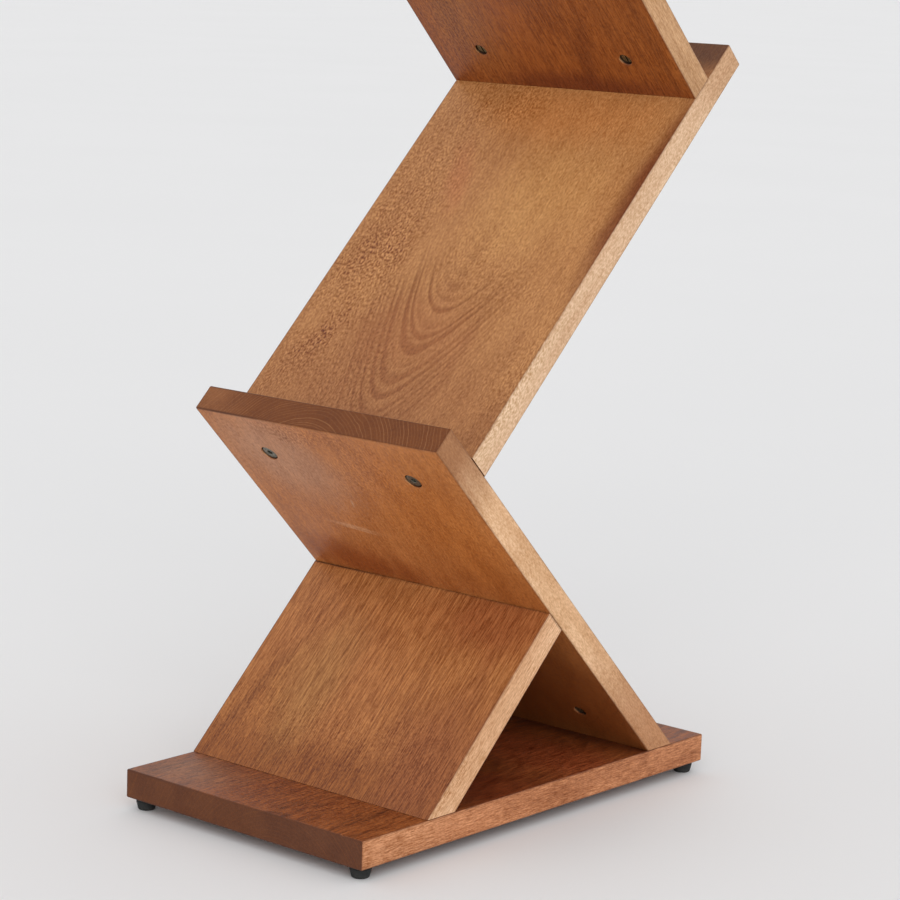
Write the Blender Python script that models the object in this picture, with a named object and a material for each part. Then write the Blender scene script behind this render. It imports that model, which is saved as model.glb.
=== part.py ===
"""Zig-zag newspaper rack: six boards bolted together at right angles, standing on four rubber feet.

X runs across the rack, Y from front to rear and Z up. The side profile is worked out in (y, z), with
y = 0 at the front edge of the base board and z = 0 at its underside. The empty at the top of the
assembly then puts the origin on the floor, under the middle of the whole rack.
"""
import math

import bmesh
import bpy
from mathutils import Euler, Matrix, Vector

# Boards
WIDTH = 0.240                # every board is as wide as the rack
THICKNESS = 0.022            # one stock thickness throughout
BASE_DEPTH = 0.406
STRUT_SETBACK = 0.069        # front edge of the base to the front corner of the strut's foot
LOWER_SETBACK = 0.333        # front edge of the base to the front corner of the lower board's foot
LOWER_LENGTH = 0.391         # along the middle of the board, from the base to the top end
BACKREST_LENGTH = 0.410      # middle, upper and top boards
LOWER_LIP = 0.034            # part of a board that stands past the next board's upper face
MIDDLE_LIP = 0.036
UPPER_LIP = 0.034
LEAN = math.radians(45.0)    # every slanted board, so that all of them meet at right angles
ARRIS = 0.0012               # rounding of the exposed edges
ARRIS_STEPS = 2

# Bolted joints, two bolts in each
BOLT_SPACING = 0.144
BOLT_HEAD_DIAMETER = 0.0125
BOLT_HEAD_HEIGHT = 0.0026
BOLT_HEAD_CHAMFER = 0.0004
BOLT_DIAMETER = 0.006
BOLT_LENGTH = 0.064          # under the head, where the bolt is square to its board
LONG_BOLT_LENGTH = 0.076     # under the head, in the base, whose bolts lean 45 degrees
BOLT_TIP_CHAMFER = 0.0008
SOCKET_FLATS = 0.004         # across the flats of the hexagon socket
SOCKET_DEPTH = 0.0018
HEAD_SUNK = 0.0010           # head below the board's face, along the bolt
LONG_HEAD_SUNK = 0.0075      # the same in the base
NUT_DISTANCE = 0.038         # from the joint to the middle of the barrel nut
LONG_NUT_DISTANCE = 0.050    # the same above a mitred foot
NUT_DIAMETER = 0.010
NUT_LENGTH = 0.018
NUT_SLOT_WIDTH = 0.0014
NUT_SLOT_DEPTH = 0.0016
HOLE_PAST_TIP = 0.002

# Feet
FOOT_HEIGHT = 0.009          # base board above the floor
FOOT_TOP_DIAMETER = 0.0165
FOOT_BOTTOM_DIAMETER = 0.0136
FOOT_EDGE = 0.0007
FOOT_INSET = 0.011           # from each edge of the base board to a foot's middle
RECESS_DIAMETER = 0.0076     # well in the foot that takes the screw's head
RECESS_DEPTH = 0.005
WASHER_DIAMETER = 0.0068
WASHER_THICKNESS = 0.0008
SCREW_DIAMETER = 0.003
SCREW_HEAD_DIAMETER = 0.0062
SCREW_HEAD_HEIGHT = 0.0024
SCREW_INTO_BASE = 0.012
SCREW_TIP_LENGTH = 0.003
SCREW_TIP_DIAMETER = 0.0008
CROSS_RECESS_RADIUS = 0.0017
CROSS_RECESS_CORE = 0.0007
CROSS_RECESS_DEPTH = 0.0014

# Clearances
GAP = 0.0003                 # between pieces that touch
BOLT_HOLE_CLEARANCE = 0.0005
HEAD_HOLE_CLEARANCE = 0.0008
OVERCUT = 0.004              # how far a cutter runs out past the face it opens

# Facets round a full turn; the bolts' and the cross recess's need multiples of 6 and 4
BOLT_FACETS = 12
NUT_FACETS = 16
FOOT_FACETS = 24
SCREW_FACETS = 16
HOLE_FACETS = 16

SLOPE = math.sin(LEAN)
REARWARD = Vector((SLOPE, SLOPE))       # (y, z) along a board that rises towards the rear
FORWARD = Vector((-SLOPE, SLOPE))       # (y, z) along a board that rises towards the front
SIDES = {"left": -1, "right": 1}


def clear_scene():
    for item in list(bpy.data.objects):
        bpy.data.objects.remove(item, do_unlink=True)


def make_material(name, colour, roughness, metallic=0.0):
    material = bpy.data.materials.new(name)
    material.use_nodes = True
    shader = material.node_tree.nodes["Principled BSDF"]
    shader.inputs["Base Color"].default_value = (*colour, 1.0)
    shader.inputs["Roughness"].default_value = roughness
    shader.inputs["Metallic"].default_value = metallic
    material.diffuse_color = (*colour, 1.0)
    return material


def mesh_from(name, bm):
    bmesh.ops.recalc_face_normals(bm, faces=bm.faces)
    mesh = bpy.data.meshes.new(name)
    bm.to_mesh(mesh)
    bm.free()
    return mesh


def add_object(name, mesh, material=None, parent=None):
    item = bpy.data.objects.new(name, mesh)
    bpy.context.collection.objects.link(item)
    item.parent = parent
    if material and mesh and not mesh.materials:
        mesh.materials.append(material)
    return item


def add_lathe(bm, profile, facets, closed=False, matrix=None):
    """Turn (radius, z) points about Z. A radius may be a function of the angle. Open ends are capped."""
    rings = []
    for radius, z in profile:
        ring = []
        for step in range(facets):
            angle = math.tau * step / facets
            reach = radius(angle) if callable(radius) else radius
            point = Vector((reach * math.cos(angle), reach * math.sin(angle), z))
            ring.append(bm.verts.new(matrix @ point if matrix else point))
        rings.append(ring)
    pairs = list(zip(rings, rings[1:]))
    if closed:
        pairs.append((rings[-1], rings[0]))
    for low, high in pairs:
        for step in range(facets):
            after = (step + 1) % facets
            bm.faces.new((low[step], low[after], high[after], high[step]))
    if not closed:
        bm.faces.new(list(reversed(rings[0])))
        bm.faces.new(rings[-1])


def lathe_mesh(name, profile, facets, closed=False):
    bm = bmesh.new()
    add_lathe(bm, profile, facets, closed)
    mesh = mesh_from(name, bm)
    mesh.shade_smooth()
    mesh.set_sharp_from_angle(angle=math.radians(35.0))
    return mesh


def hexagon(angle):
    """Reach of the socket's wall at an angle."""
    from_flat = (angle % (math.pi / 3.0)) - math.pi / 6.0
    return SOCKET_FLATS / 2.0 / math.cos(from_flat)


def cross(angle):
    """Reach of the cross recess at an angle: four arms with a narrow core between them."""
    return CROSS_RECESS_RADIUS if abs(math.cos(2.0 * angle)) > 0.9 and math.cos(4.0 * angle) > 0.9 \
        else CROSS_RECESS_CORE


def board_mesh(name, outline, round_start, round_end):
    """Extrude a (y, z) outline across the rack. Its first and last points lie on the start face."""
    bm = bmesh.new()
    left = [bm.verts.new((-WIDTH / 2.0, y, z)) for y, z in outline]
    right = [bm.verts.new((WIDTH / 2.0, y, z)) for y, z in outline]
    count = len(outline)
    bm.faces.new(left)
    bm.faces.new(list(reversed(right)))
    walls = []
    for step in range(count):
        after = (step + 1) % count
        walls.append(bm.faces.new((left[step], right[step], right[after], left[after])))
    end_wall, start_wall = walls[1], walls[3]
    kept_sharp = set()
    if not round_start:
        kept_sharp.update(start_wall.edges)
    if not round_end:
        kept_sharp.update(end_wall.edges)
    exposed = [edge for edge in bm.edges if edge not in kept_sharp]
    bmesh.ops.bevel(bm, geom=exposed, offset=ARRIS, segments=ARRIS_STEPS, profile=0.5, affect="EDGES")
    return mesh_from(name, bm)


def add_board(name, foot, length, material, parent, rises_forward=False, mitred=False, end_gap=0.0):
    """A slanted board from its foot. Its own +Y runs up the board and its +Z out of the upper face."""
    half = THICKNESS / 2.0
    cut = half if mitred else 0.0
    lift = GAP / SLOPE if mitred else GAP
    top = length - end_gap
    outline = [(lift - cut, half), (top, half), (top, -half), (lift + cut, -half)]
    board = add_object(name, board_mesh(name, outline, False, end_gap == 0.0), material, parent)
    board.location = (0.0, foot.x, foot.y)
    board.rotation_euler = (LEAN, 0.0, math.pi if rises_forward else 0.0)
    return board


def next_foot(foot, length, lip, along, outward):
    """Where the next board's middle plane meets this board's upper face."""
    return foot + along * (length - lip - THICKNESS / 2.0) + outward * (THICKNESS / 2.0)


def tilt(direction):
    """Turn about X that brings +Z onto a (y, z) direction."""
    return Euler((math.atan2(-direction.x, direction.y), 0.0, 0.0))


def placed(x, point, direction):
    """Matrix that stands something at x and a (y, z) point, with its +Z along a (y, z) direction."""
    return Matrix.Translation((x, point.x, point.y)) @ tilt(direction).to_matrix().to_4x4()


def cutter(name, profile, places, parent):
    """One hidden object that holds a turned cutter at each place."""
    bm = bmesh.new()
    for place in places:
        add_lathe(bm, profile, HOLE_FACETS, matrix=place)
    item = add_object(name, mesh_from(name, bm), parent=parent)
    item.hide_render = True
    item.display_type = "WIRE"
    return item


def cut(board, tool):
    hole = board.modifiers.new(tool.name, "BOOLEAN")
    hole.operation = "DIFFERENCE"
    hole.solver = "EXACT"
    hole.object = tool


def bolt_profile(length):
    shank = BOLT_DIAMETER / 2.0
    head = BOLT_HEAD_DIAMETER / 2.0
    tip = BOLT_HEAD_HEIGHT + length
    return [(hexagon, SOCKET_DEPTH), (hexagon, 0.0), (head - BOLT_HEAD_CHAMFER, 0.0),
            (head, BOLT_HEAD_CHAMFER), (head, BOLT_HEAD_HEIGHT), (shank, BOLT_HEAD_HEIGHT),
            (shank, tip - BOLT_TIP_CHAMFER), (shank - BOLT_TIP_CHAMFER, tip)]


def bolt_hole_profile(length):
    """Counterbore and clearance hole, measured from the top of the bolt's head."""
    head = BOLT_HEAD_DIAMETER / 2.0 + HEAD_HOLE_CLEARANCE
    shank = BOLT_DIAMETER / 2.0 + BOLT_HOLE_CLEARANCE
    seat = BOLT_HEAD_HEIGHT + GAP
    mouth = -(LONG_HEAD_SUNK + BOLT_HEAD_DIAMETER + OVERCUT)
    return [(head, mouth), (head, seat), (shank, seat),
            (shank, BOLT_HEAD_HEIGHT + length + HOLE_PAST_TIP)]


def barrel_nut_mesh():
    """Short cross-drilled cylinder, with a screwdriver slot across its outer end."""
    half = NUT_LENGTH / 2.0
    blank = add_object("nut_blank", lathe_mesh("nut_blank", [(NUT_DIAMETER / 2.0, -half),
                                                            (NUT_DIAMETER / 2.0, half)], NUT_FACETS))
    reach = NUT_DIAMETER
    across = Matrix.Rotation(math.pi / 2.0, 4, "X")
    thread = cutter("nut_thread", [(BOLT_DIAMETER / 2.0 + GAP, -reach),
                                   (BOLT_DIAMETER / 2.0 + GAP, reach)], [across], None)
    bm = bmesh.new()
    bmesh.ops.create_cube(bm, size=1.0)
    bmesh.ops.scale(bm, verts=bm.verts, vec=(NUT_SLOT_WIDTH, 2.0 * reach, 2.0 * NUT_SLOT_DEPTH))
    bmesh.ops.translate(bm, verts=bm.verts, vec=(0.0, 0.0, half))
    slot = add_object("nut_slot", mesh_from("nut_slot", bm))
    cut(blank, thread)
    cut(blank, slot)
    evaluated = blank.evaluated_get(bpy.context.evaluated_depsgraph_get())
    mesh = bpy.data.meshes.new_from_object(evaluated)
    mesh.name = "barrel_nut"
    for item in (blank, thread, slot):
        bpy.data.objects.remove(item, do_unlink=True)
    return mesh


def add_joint(name, meshes, material, parent, through, end, point, direction, outward, leaning=False):
    """Two bolts through one board into barrel nuts in the end of another.

    point is where the end board's middle plane meets the through board, direction runs from there up
    the end board, and outward is the normal of the face that the nuts are put in from.
    """
    wall = THICKNESS / SLOPE if leaning else THICKNESS
    sunk = LONG_HEAD_SUNK if leaning else HEAD_SUNK
    length = LONG_BOLT_LENGTH if leaning else BOLT_LENGTH
    head = point - direction * (wall - sunk)
    nut = point + direction * (LONG_NUT_DISTANCE if leaning else NUT_DISTANCE)
    bolt_places = []
    nut_places = []
    for side, sign in SIDES.items():
        x = sign * BOLT_SPACING / 2.0
        bolt_places.append(placed(x, head, direction))
        nut_places.append(placed(x, nut, outward))
        mesh = meshes["long_bolt" if leaning else "bolt"]
        bolt = add_object("bolt_%s_%s" % (name, side), mesh, material["bolt"], parent)
        bolt.location = (x, head.x, head.y)
        bolt.rotation_euler = tilt(direction)
        barrel = add_object("barrel_nut_%s_%s" % (name, side), meshes["nut"], material["nut"], parent)
        barrel.location = (x, nut.x, nut.y)
        barrel.rotation_euler = tilt(outward)
    bolt_hole = cutter("hole_" + name, bolt_hole_profile(length), bolt_places, parent)
    radius = NUT_DIAMETER / 2.0 + GAP
    nut_hole = cutter("nut_hole_" + name, [(radius, -NUT_LENGTH / 2.0 - GAP),
                                           (radius, THICKNESS / 2.0 + OVERCUT)], nut_places, parent)
    cut(through, bolt_hole)
    cut(end, bolt_hole)
    cut(end, nut_hole)


def foot_profile():
    """Section of a tapered foot: well for the screw's head below, clearance hole above."""
    top = FOOT_HEIGHT - GAP
    hole = SCREW_DIAMETER / 2.0 + GAP
    bottom = FOOT_BOTTOM_DIAMETER / 2.0
    return [(RECESS_DIAMETER / 2.0, 0.0), (bottom - FOOT_EDGE, 0.0), (bottom, FOOT_EDGE),
            (FOOT_TOP_DIAMETER / 2.0, top), (hole, top), (hole, RECESS_DEPTH),
            (RECESS_DIAMETER / 2.0, RECESS_DEPTH)]


def washer_profile():
    top = RECESS_DEPTH - GAP
    hole = SCREW_DIAMETER / 2.0 + GAP
    rim = WASHER_DIAMETER / 2.0
    return [(hole, top - WASHER_THICKNESS), (rim, top - WASHER_THICKNESS), (rim, top), (hole, top)]


def foot_screw_profile():
    """Pan head below, then the shank up through the washer and the foot into the base board."""
    seat = RECESS_DEPTH - WASHER_THICKNESS - 2.0 * GAP
    face = seat - SCREW_HEAD_HEIGHT
    head = SCREW_HEAD_DIAMETER / 2.0
    shank = SCREW_DIAMETER / 2.0
    tip = FOOT_HEIGHT + SCREW_INTO_BASE
    return [(cross, face + CROSS_RECESS_DEPTH), (cross, face), (head * 0.8, face),
            (head, face + SCREW_HEAD_HEIGHT * 0.45), (head, seat), (shank, seat),
            (shank, tip - SCREW_TIP_LENGTH), (SCREW_TIP_DIAMETER / 2.0, tip)]


def add_feet(base, meshes, material, parent):
    """A foot, its washer and its screw at each corner of the base board."""
    ends = {"front": FOOT_INSET, "rear": BASE_DEPTH - FOOT_INSET}
    places = []
    for end, y in ends.items():
        for side, sign in SIDES.items():
            x = sign * (WIDTH / 2.0 - FOOT_INSET)
            for kind in ("foot", "foot_washer", "foot_screw"):
                piece = add_object("%s_%s_%s" % (kind, end, side), meshes[kind], material[kind], parent)
                piece.location = (x, y, -FOOT_HEIGHT)
            places.append(Matrix.Translation((x, y, 0.0)))
    pilots = cutter("pilot_holes", [(SCREW_DIAMETER / 2.0 + GAP, -OVERCUT),
                                    (SCREW_DIAMETER / 2.0 + GAP, SCREW_INTO_BASE + GAP)], places, parent)
    cut(base, pilots)


def main():
    clear_scene()
    wood_tones = {"base_board": (0.20, 0.075, 0.032), "strut_board": (0.25, 0.115, 0.045),
                  "lower_board": (0.31, 0.135, 0.045), "middle_board": (0.36, 0.175, 0.068),
                  "upper_board": (0.27, 0.105, 0.035), "top_board": (0.34, 0.160, 0.060)}
    wood = {name: make_material(name, tone, 0.5) for name, tone in wood_tones.items()}
    steel = make_material("bolt_steel", (0.34, 0.33, 0.31), 0.35, 1.0)
    brassy = make_material("nut_brass", (0.42, 0.34, 0.17), 0.42, 1.0)
    zinc = make_material("zinc_steel", (0.55, 0.56, 0.57), 0.35, 1.0)
    rubber = make_material("rubber", (0.018, 0.018, 0.020), 0.75)

    lower_foot = Vector((LOWER_SETBACK + THICKNESS * SLOPE, THICKNESS))
    strut_foot = Vector((STRUT_SETBACK + THICKNESS * SLOPE, THICKNESS))
    strut_length = (lower_foot - strut_foot).dot(REARWARD) - THICKNESS / 2.0
    strut_top = strut_foot + REARWARD * strut_length
    middle_foot = next_foot(lower_foot, LOWER_LENGTH, LOWER_LIP, FORWARD, REARWARD)
    upper_foot = next_foot(middle_foot, BACKREST_LENGTH, MIDDLE_LIP, REARWARD, FORWARD)
    top_foot = next_foot(upper_foot, BACKREST_LENGTH, UPPER_LIP, FORWARD, REARWARD)
    corner = middle_foot + REARWARD * BACKREST_LENGTH - FORWARD * (THICKNESS / 2.0)
    rearmost = corner.x - ARRIS * (math.sqrt(2.0) - 1.0)    # the rounding takes the corner's point off

    rack = add_object("newspaper_rack", None)
    rack.location = (0.0, -max(BASE_DEPTH, rearmost) / 2.0, FOOT_HEIGHT)

    base_outline = [(0.0, THICKNESS), (BASE_DEPTH, THICKNESS), (BASE_DEPTH, 0.0), (0.0, 0.0)]
    base_mesh = board_mesh("base_board", base_outline, True, True)
    base = add_object("base_board", base_mesh, wood["base_board"], rack)
    strut = add_board("strut_board", strut_foot, strut_length, wood["strut_board"], rack,
                      mitred=True, end_gap=GAP)
    lower = add_board("lower_board", lower_foot, LOWER_LENGTH, wood["lower_board"], rack,
                      rises_forward=True, mitred=True)
    middle = add_board("middle_board", middle_foot, BACKREST_LENGTH, wood["middle_board"], rack)
    upper = add_board("upper_board", upper_foot, BACKREST_LENGTH, wood["upper_board"], rack,
                      rises_forward=True)
    top = add_board("top_board", top_foot, BACKREST_LENGTH, wood["top_board"], rack)

    meshes = {"bolt": lathe_mesh("bolt", bolt_profile(BOLT_LENGTH), BOLT_FACETS),
              "long_bolt": lathe_mesh("long_bolt", bolt_profile(LONG_BOLT_LENGTH), BOLT_FACETS),
              "nut": barrel_nut_mesh(),
              "foot": lathe_mesh("foot", foot_profile(), FOOT_FACETS, closed=True),
              "foot_washer": lathe_mesh("foot_washer", washer_profile(), SCREW_FACETS, closed=True),
              "foot_screw": lathe_mesh("foot_screw", foot_screw_profile(), SCREW_FACETS)}
    finish = {"bolt": steel, "nut": brassy, "foot": rubber, "foot_washer": zinc, "foot_screw": zinc}

    joints = [("base_strut", base, strut, strut_foot, REARWARD, -FORWARD, True),
              ("base_lower", base, lower, lower_foot, FORWARD, -REARWARD, True),
              ("strut_lower", lower, strut, strut_top, -REARWARD, -FORWARD, False),
              ("lower_middle", lower, middle, middle_foot, REARWARD, -FORWARD, False),
              ("middle_upper", middle, upper, upper_foot, FORWARD, -REARWARD, False),
              ("upper_top", upper, top, top_foot, REARWARD, -FORWARD, False)]
    for name, through, end, point, direction, outward, leaning in joints:
        add_joint(name, meshes, finish, rack, through, end, point, direction, outward, leaning)
    add_feet(base, meshes, finish, rack)


main()
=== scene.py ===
import math
import random

import bmesh
import bpy
from mathutils import Matrix, Vector


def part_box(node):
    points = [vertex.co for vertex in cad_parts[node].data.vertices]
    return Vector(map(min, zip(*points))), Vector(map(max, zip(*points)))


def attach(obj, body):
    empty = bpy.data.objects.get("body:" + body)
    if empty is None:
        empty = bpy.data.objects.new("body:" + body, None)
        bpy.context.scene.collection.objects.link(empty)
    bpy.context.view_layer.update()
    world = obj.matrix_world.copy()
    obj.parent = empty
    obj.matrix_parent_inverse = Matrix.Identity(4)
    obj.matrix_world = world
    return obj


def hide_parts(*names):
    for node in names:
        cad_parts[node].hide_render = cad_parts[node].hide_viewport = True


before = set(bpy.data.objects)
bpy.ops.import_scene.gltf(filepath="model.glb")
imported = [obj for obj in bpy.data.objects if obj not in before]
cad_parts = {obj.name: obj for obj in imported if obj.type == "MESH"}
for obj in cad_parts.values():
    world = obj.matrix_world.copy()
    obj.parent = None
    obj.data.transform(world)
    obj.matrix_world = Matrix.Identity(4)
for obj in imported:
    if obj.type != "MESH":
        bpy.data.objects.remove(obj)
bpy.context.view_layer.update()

slope = math.sin(math.radians(45.0))
sides = ("left", "right")
roundingLoss = math.sqrt(2.0) - 1.0     # how much of its radius a rounded corner loses, seen corner-on
weldDistance = 0.000002


# meshes

def meshFrom(name, bm):
    bmesh.ops.recalc_face_normals(bm, faces=bm.faces)
    mesh = bpy.data.meshes.new(name)
    bm.to_mesh(mesh)
    bm.free()
    return mesh


def smoothShaded(mesh, sharpAngle=32.0):
    mesh.shade_smooth()
    mesh.set_sharp_from_angle(angle=math.radians(sharpAngle))
    return mesh


def addTurned(bm, profile, facets, closed=False, place=None):
    # (radius, z) points turned about Z; a radius can be a function of the angle
    rings = []
    for radius, z in profile:
        ring = []
        for step in range(facets):
            angle = math.tau * step / facets
            reach = radius(angle) if callable(radius) else radius
            point = Vector((reach * math.cos(angle), reach * math.sin(angle), z))
            ring.append(bm.verts.new(place @ point if place else point))
        rings.append(ring)
    pairs = list(zip(rings, rings[1:]))
    if closed:
        pairs.append((rings[-1], rings[0]))
    for low, high in pairs:
        for step in range(facets):
            after = (step + 1) % facets
            bm.faces.new((low[step], low[after], high[after], high[step]))
    if not closed:
        bm.faces.new(list(reversed(rings[0])))
        bm.faces.new(rings[-1])


def turnedMesh(name, profile, facets, closed=False):
    bm = bmesh.new()
    addTurned(bm, profile, facets, closed)
    return smoothShaded(meshFrom(name, bm))


def placed(name, data, matrix=Matrix()):
    item = bpy.data.objects.new(name, data)
    bpy.context.scene.collection.objects.link(item)
    item.matrix_world = matrix
    return item


def addPiece(name, mesh, material, node, matrix):
    piece = placed(name, mesh, matrix)
    if not mesh.materials:
        mesh.materials.append(material)
    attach(piece, "root")
    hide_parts(node)
    return piece


def titled(node):
    return "".join(word.title() for word in node.split("_"))


def helperObject(name, bm):
    return placed(name, meshFrom(name, bm))


def carved(mesh, matrix, cutters):
    # the mesh with every cutter taken away, still in its own coordinates
    blank = placed("blank", mesh, matrix)
    for cutter in cutters:
        hole = blank.modifiers.new("hole", "BOOLEAN")
        hole.operation = "DIFFERENCE"
        hole.solver = "EXACT"
        hole.object = cutter
    bpy.context.view_layer.update()
    finished = blank.evaluated_get(bpy.context.evaluated_depsgraph_get())
    result = bpy.data.meshes.new_from_object(finished)
    for helper in [blank] + list(cutters):
        bpy.data.objects.remove(helper, do_unlink=True)
    bm = bmesh.new()
    bm.from_mesh(result)
    bmesh.ops.remove_doubles(bm, verts=bm.verts, dist=weldDistance)
    bmesh.ops.dissolve_degenerate(bm, edges=bm.edges, dist=weldDistance)
    bm.to_mesh(result)
    bm.free()
    return result


# node helpers

def addNode(tree, kind, inputs=(), **settings):
    node = tree.nodes.new(kind)
    for key, value in settings.items():
        setattr(node, key, value)
    for key, value in dict(inputs).items():
        if isinstance(value, bpy.types.NodeSocket):
            tree.links.new(value, node.inputs[key])
        else:
            node.inputs[key].default_value = value
    return node


def sums(tree, operation, *values):
    return addNode(tree, "ShaderNodeMath", dict(enumerate(values)), operation=operation).outputs[0]


def times(tree, *values):
    return sums(tree, "MULTIPLY", *values)


def timesPlus(tree, value, factor, rest):
    return sums(tree, "MULTIPLY_ADD", value, factor, rest)


def vectorSums(tree, operation, *values):
    node = addNode(tree, "ShaderNodeVectorMath", dict(enumerate(values)), operation=operation)
    return node.outputs["Value" if operation == "LENGTH" else "Vector"]


def stretched(tree, vector, factors):
    return vectorSums(tree, "MULTIPLY", vector, factors)


def spread(tree, value, low, high, toLow=0.0, toHigh=1.0):
    node = addNode(tree, "ShaderNodeMapRange", {"Value": value, "From Min": low, "From Max": high,
                                                "To Min": toLow, "To Max": toHigh},
                   interpolation_type="SMOOTHSTEP")
    return node.outputs["Result"]


def mixed(tree, factor, first, second, blend="MIX"):
    node = addNode(tree, "ShaderNodeMix", {0: factor, 6: first, 7: second}, data_type="RGBA",
                   blend_type=blend, clamp_factor=True)
    return node.outputs[2]


def noise(tree, vector, scale, detail=2.0, roughness=0.5, output="Fac"):
    node = addNode(tree, "ShaderNodeTexNoise", {"Vector": vector, "Scale": scale, "Detail": detail,
                                                "Roughness": roughness})
    return node.outputs[output]


def split(tree, vector):
    return addNode(tree, "ShaderNodeSeparateXYZ", {0: vector}).outputs


def joined(tree, x=0.0, y=0.0, z=0.0):
    return addNode(tree, "ShaderNodeCombineXYZ", {0: x, 1: y, 2: z}).outputs[0]


def newGroup(name, inputs, outputs):
    group = bpy.data.node_groups.new(name, "ShaderNodeTree")
    for label, value in inputs.items():
        kind = "NodeSocketVector" if isinstance(value, tuple) else "NodeSocketFloat"
        socket = group.interface.new_socket(label, in_out="INPUT", socket_type=kind)
        socket.default_value = value
    for label in outputs:
        group.interface.new_socket(label, in_out="OUTPUT", socket_type="NodeSocketFloat")
    return group, group.nodes.new("NodeGroupInput").outputs, group.nodes.new("NodeGroupOutput").inputs


def useGroup(tree, group, **inputs):
    # a keyword such as ringWidth fills the socket "Ring Width"
    node = addNode(tree, "ShaderNodeGroup", node_tree=group)
    for key, value in inputs.items():
        label = "".join(" " + letter if letter.isupper() else letter for letter in key).title()
        if isinstance(value, bpy.types.NodeSocket):
            tree.links.new(value, node.inputs[label])
        else:
            node.inputs[label].default_value = value
    return node.outputs


def newMaterial(name):
    material = bpy.data.materials.new(name)
    material.use_nodes = True
    tree = material.node_tree
    return material, tree, tree.nodes["Principled BSDF"].inputs


def addBump(tree, shader, height, strength, distance):
    bump = addNode(tree, "ShaderNodeBump", {"Height": height, "Strength": strength, "Distance": distance})
    tree.links.new(bump.outputs[0], shader["Normal"])


def linear(hexColour):
    # "#b07a4c" to the linear colour that a socket takes
    channels = [int(hexColour[start:start + 2], 16) / 255.0 for start in (1, 3, 5)]
    return [c / 12.92 if c <= 0.04045 else ((c + 0.055) / 1.055) ** 2.4 for c in channels] + [1.0]


# shared effects

# noise in the wood: cycles per metre, how it is drawn out along the board, detail and roughness
woodGrain = {"bend": (14.0, 0.5, 3.0, 0.55), "streak": (90.0, 0.055, 4.0, 0.6),
             "cloud": (48.0, 0.4, 4.0, 0.62), "speck": (640.0, 0.55, 2.0, 0.6),
             "pore": (1300.0, 0.4, 1.0, 0.6)}
fibreScale = 1500.0
ringUnevenness = {"scale": 95.0, "amount": 2.6}
rayCell = {"depth": 0.009, "width": 0.0012, "length": 0.0050, "radius": 0.085}  # radius makes angles widths


def grainNoise(tree, vector, part, output="Fac"):
    scale, draw, detail, roughness = woodGrain[part]
    return noise(tree, stretched(tree, vector, (1.0, draw, 1.0)), scale, detail, roughness, output)


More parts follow.
